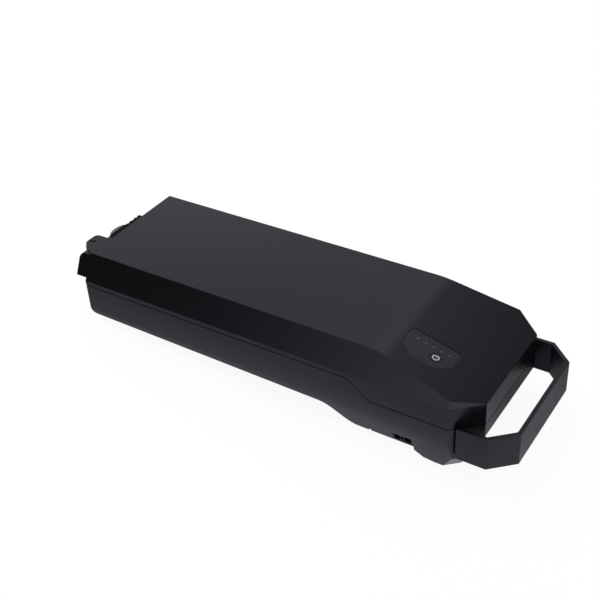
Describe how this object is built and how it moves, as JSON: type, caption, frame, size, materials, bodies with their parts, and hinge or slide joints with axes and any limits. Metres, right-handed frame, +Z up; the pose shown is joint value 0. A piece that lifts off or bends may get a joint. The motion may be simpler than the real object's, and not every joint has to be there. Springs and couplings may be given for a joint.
{
  "type": "rear rack e-bike battery",
  "caption": "Black rear rack battery for an electric bicycle: two-shell case with a sloping tail, band handle, front coupling, charge indicator and round cells inside.",
  "frame": {"origin": "under the middle of the whole length and width, at the height of the rear feet", "axes": "+X towards the carry handle, +Z up through the deck, +Y to the side away from the latch pocket; the deck is level"},
  "size_m": [0.3986, 0.128, 0.082],
  "materials": {
    "shell": "satin moulded black plastic, fine grain",
    "trim": "satin moulded black plastic",
    "rail": "low friction black plastic",
    "seal": "matt black elastomer",
    "fastener": "zinc plated steel",
    "overlay": "matt printed polycarbonate film",
    "diffuser": "milky light guide",
    "component": "black moulding compound",
    "switch_can": "stamped switch can",
    "circuit_board": "green solder mask on glass fibre board",
    "lamp": "lamp body",
    "contact": "plated brass",
    "strike": "brushed steel",
    "cell": "shrink sleeve over a metal can",
    "holder": "black moulded plastic",
    "nickel": "nickel strip",
    "sheet": "insulating sheet",
    "foam": "closed cell foam",
    "heatsink": "extruded aluminium",
    "capacitor": "sleeved aluminium can",
    "fuse": "blue blade fuse",
    "lead_red": "silicone insulated wire",
    "lead_black": "silicone insulated wire",
    "ribbon": "flat ribbon of insulated wires"
  },
  "bodies": {
    "pack": {"top_cover": "shell", "lower_case": "shell", "seam_gasket": "seal", "case_screws": "fastener", "carry_handle": "shell", "handle_screws": "fastener", "slide_rails": "rail", "rail_screws": "fastener", "indicator_overlay": "overlay", "light_guide": "diffuser", "switch_housing": "switch_can", "indicator_board": "circuit_board", "indicator_lamps": "lamp", "indicator_screws": "fastener", "front_coupling": "shell", "coupling_screws": "fastener", "contact_block": "component", "contact_blades": "contact", "plug_hood": "trim", "latch_insert": "trim", "latch_strike": "strike", "strike_screw": "fastener", "battery_cells": "cell", "cell_holders": "holder", "nickel_strips": "nickel", "insulation_sheets": "sheet", "top_foam": "foam", "bottom_foam": "foam", "front_foam": "foam", "bms_board": "circuit_board", "bms_transistors": "component", "bms_heatsink": "heatsink", "bms_capacitors": "capacitor", "bms_screws": "fastener", "main_fuse": "fuse", "positive_lead": "lead_red", "negative_lead": "lead_black", "balance_ribbon": "ribbon", "signal_lead": "ribbon"},
    "button": {"power_button": "overlay", "switch_plunger": "component"}
  },
  "joints": [
    {"name": "power_button_press", "type": "slide", "parent": "pack", "child": "button", "axis": [-0.2621, 0, -0.965], "range_m": [0, 0.0006], "stiffness_N_per_m": 2500}
  ]
}
